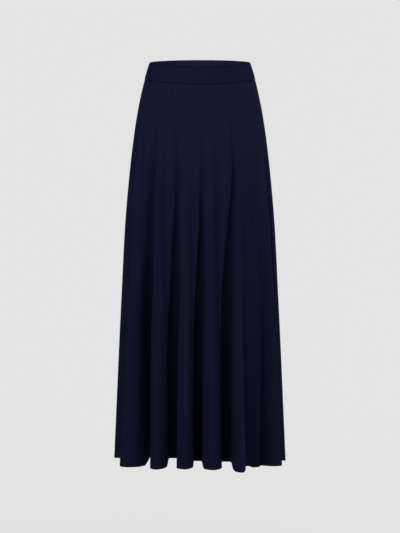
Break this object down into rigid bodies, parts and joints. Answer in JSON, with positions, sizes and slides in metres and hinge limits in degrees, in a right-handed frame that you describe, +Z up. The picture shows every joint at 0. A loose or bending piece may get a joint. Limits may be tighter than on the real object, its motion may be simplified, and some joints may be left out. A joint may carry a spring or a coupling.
{
  "type": "maxi skirt",
  "caption": "Long flared maxi skirt of fine knit: its gores fall in deep soft folds from a plain contoured waistband, hollow as when worn, open at waist and hem.",
  "frame": {"origin": "middle of the waist opening, about half way up the waistband, where the wearer's waist holds the skirt", "axes": "+Z up, along the length of the skirt; -Y is the front; +X is the wearer's left"},
  "size_m": [0.3989, 0.2834, 0.9397],
  "materials": {
    "band_knit": "dark navy fine-gauge knit folded double, smooth and matt",
    "skirt_knit": "dark navy fine-gauge jersey knit, matt with a faint bluish sheen at grazing angles"
  },
  "bodies": {
    "root": {"waistband_front": "band_knit", "waistband_back": "band_knit", "gore_front_side_right": "skirt_knit", "gore_front_centre_right": "skirt_knit", "gore_front_centre_left": "skirt_knit", "gore_front_side_left": "skirt_knit", "gore_back_side_left": "skirt_knit", "gore_back_middle_left": "skirt_knit", "gore_back_centre_left": "skirt_knit", "gore_back_centre_right": "skirt_knit", "gore_back_middle_right": "skirt_knit", "gore_back_side_right": "skirt_knit"}
  },
  "joints": []
}
